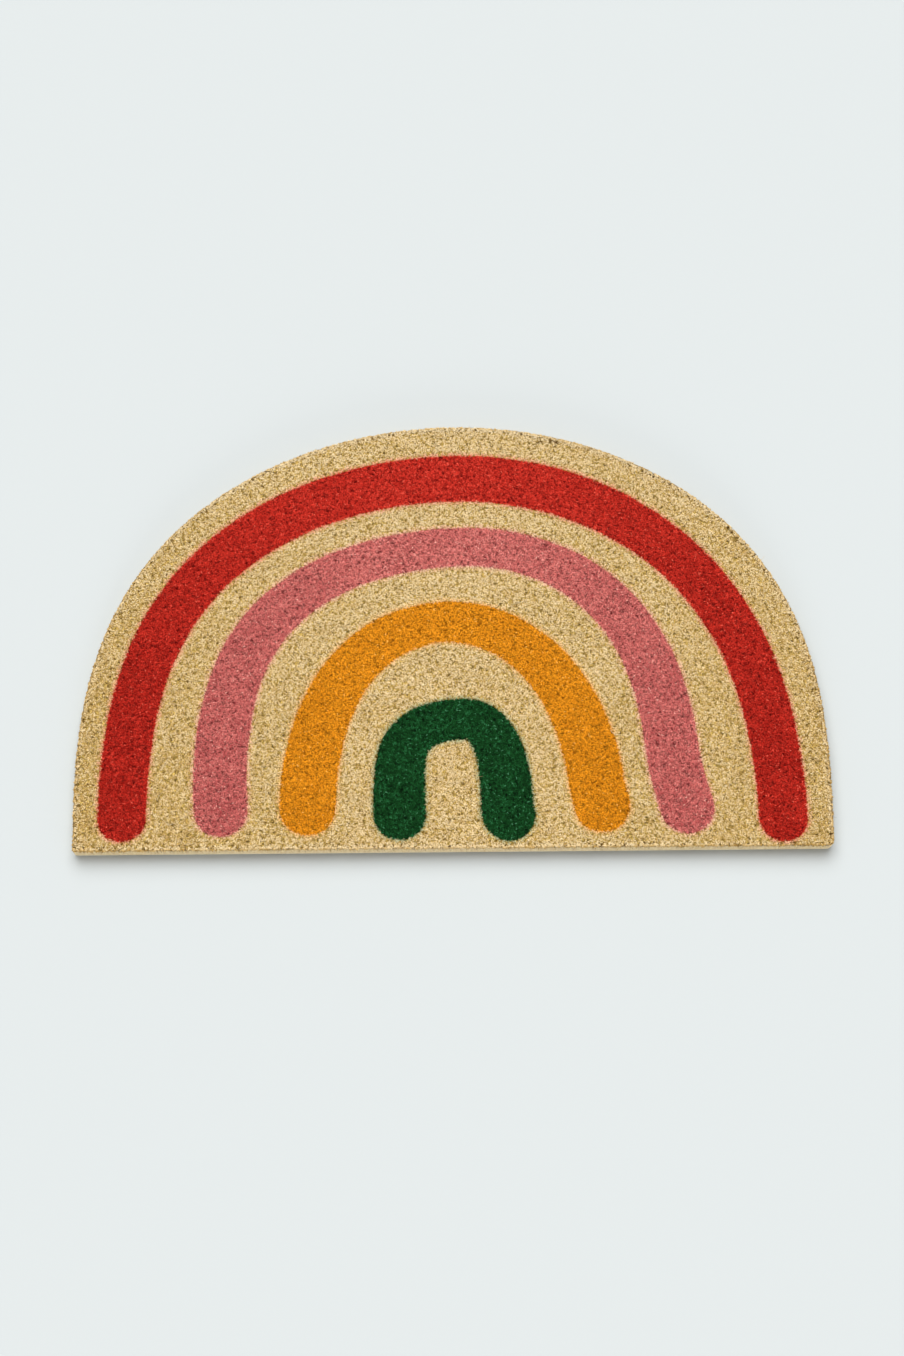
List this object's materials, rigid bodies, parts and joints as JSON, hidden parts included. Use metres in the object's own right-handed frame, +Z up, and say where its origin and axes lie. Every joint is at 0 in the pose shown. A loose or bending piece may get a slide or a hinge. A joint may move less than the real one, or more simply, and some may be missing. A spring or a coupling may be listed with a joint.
{
  "type": "half-moon coir doormat",
  "caption": "Half-moon doormat of short coir bristle on a thin vinyl backing, printed with concentric arches in red, pink, orange and green.",
  "frame": {"origin": "middle of the mat's footprint, on the underside, where it lies on the floor", "axes": "+X along the straight front edge, to the right of someone facing the mat; +Y from the front edge towards the crown of the arch; +Z up out of the bristles"},
  "size_m": [0.75, 0.45, 0.017],
  "materials": {
    "vinyl_backing": "cream vinyl, matt, with a fine pebbled underside",
    "natural_coir": "natural straw-coloured coir bristle, short, upright and rough",
    "red_coir": "coir bristle printed brick red",
    "pink_coir": "coir bristle printed dusty pink",
    "orange_coir": "coir bristle printed warm orange",
    "green_coir": "coir bristle printed bottle green"
  },
  "bodies": {
    "root": {"backing_sheet": "vinyl_backing", "coir_pile": "natural_coir"}
  },
  "joints": []
}
